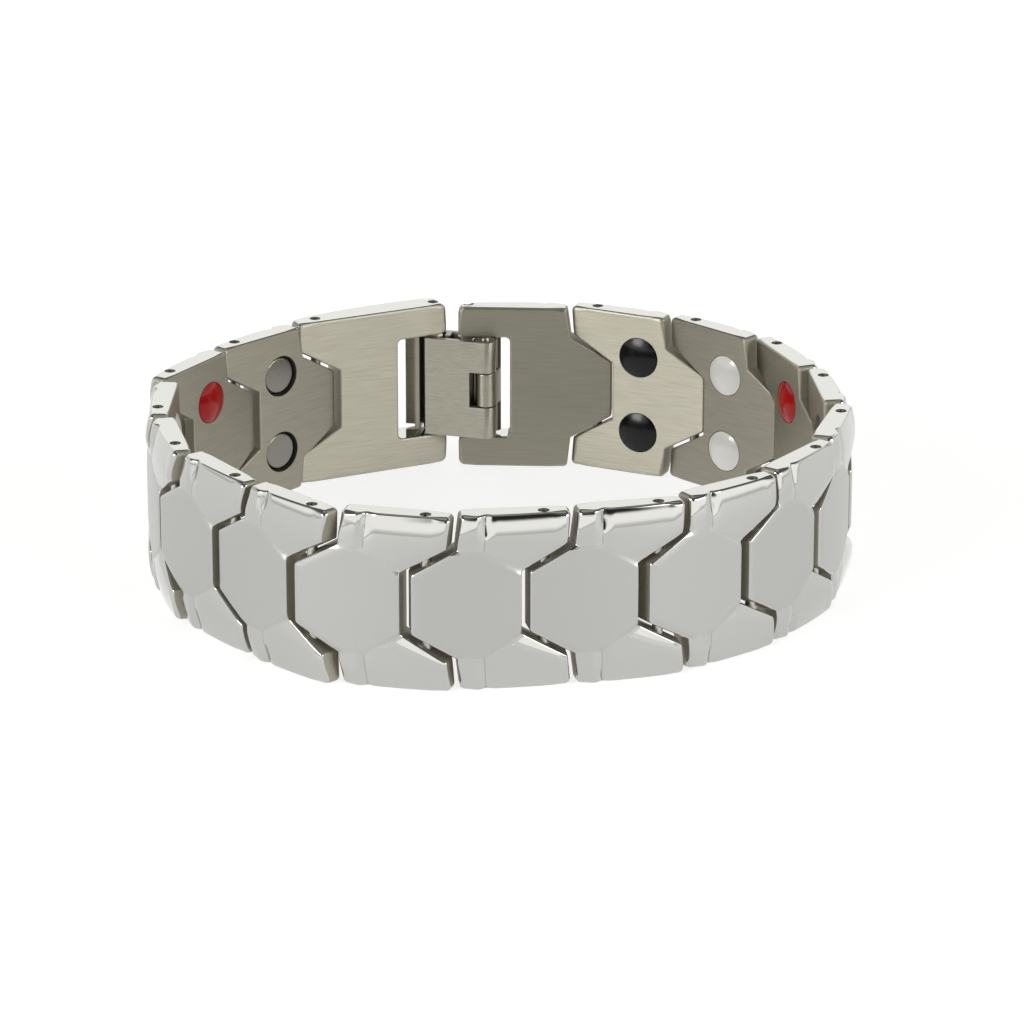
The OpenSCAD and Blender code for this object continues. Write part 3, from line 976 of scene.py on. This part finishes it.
# Low down it is bright but for the back, with a darker line at the horizon. Higher up are bright soft
# boxes in front on both sides, the dark shape of the camera between them, dim sides and a bright
# backdrop behind. The ceiling is dim, but for a panel overhead. Two strong lamps stand in front on the
# left and right. Levels and turns are in degrees, and the stops are (turn, brightness).
LOW_STOPS = [
    (-180, 0.9), (-150, 0.9), (-130, 1.5), (-45, 1.6), (90, 1.65), (130, 1.5), (150, 0.9), (180, 0.9),
]
HIGH_STOPS = [
    (-180, 1.42), (-148, 1.42), (-132, 0.9), (-75, 0.9), (-58, 1.2), (-45, 1.6), (-14, 1.6), (-3, 0.03),
    (44, 0.03), (54, 1.5), (90, 1.3), (105, 0.9), (140, 0.9), (155, 1.42), (180, 1.42),
]
HORIZON_LEVELS = (-2.0, 0.5)
HORIZON_SOFT = 2.5
HORIZON_SHADE = 0.48
HIGH_LEVELS = (8.0, 11.0)
CEILING = 0.16
CEILING_LEVELS = (27.0, 40.0)
PANEL = 0.5
PANEL_LEVELS = (62.0, 76.0)
LAMP_LEVELS = (17.0, 27.0)
LAMP_SOFT_LEVEL = 6.0
LAMP_SOFT_TURN = 8.0
# Each lamp's first and last turn, and its brightness
LAMPS = [(-48.0, -30.0, 10.0), (50.0, 76.0, 6.8)]

dark_line = sky_math("MULTIPLY", sky_band(level, *HORIZON_LEVELS, HORIZON_SOFT), HORIZON_SHADE)
low_sky = sky_math("MULTIPLY", sky_round(LOW_STOPS), sky_math("SUBTRACT", 1.0, dark_line))
sides = sky_mix(low_sky, sky_round(HIGH_STOPS), sky_step(level, *HIGH_LEVELS))
ceiling = sky_mix(CEILING, PANEL, sky_step(level, *PANEL_LEVELS))
whole = sky_mix(sides, ceiling, sky_step(level, *CEILING_LEVELS))
for low, high, brightness in LAMPS:
    lamp_height = sky_band(level, *LAMP_LEVELS, LAMP_SOFT_LEVEL)
    lamp = sky_math("MULTIPLY", lamp_height, sky_band(turn, low, high, LAMP_SOFT_TURN))
    whole = sky_math("ADD", whole, sky_math("MULTIPLY", lamp, brightness))
sky.links.new(whole, sky.nodes["Background"].inputs["Strength"])
sky.nodes["Background"].inputs["Color"].default_value = (1, 1, 0.97, 1)

camera_data = bpy.data.cameras.new("camera")
camera = bpy.data.objects.new("camera", camera_data)
bpy.context.scene.collection.objects.link(camera)
camera_data.sensor_width = 36
camera_data.lens = 196.4
camera_data.clip_start = 0.01
camera_data.clip_end = 20
azimuth = math.radians(10.8)
elevation = math.radians(20)
distance = 0.5407
target = Vector((0.00193, 0, 0.00595))
sideways = math.cos(elevation)
back = Vector((math.sin(azimuth) * sideways, -math.cos(azimuth) * sideways, math.sin(elevation)))
camera.location = target + back * distance
camera.rotation_euler = back.to_track_quat("Z", "Y").to_euler()
bpy.context.scene.camera = camera
bpy.context.scene.view_settings.view_transform = "Standard"
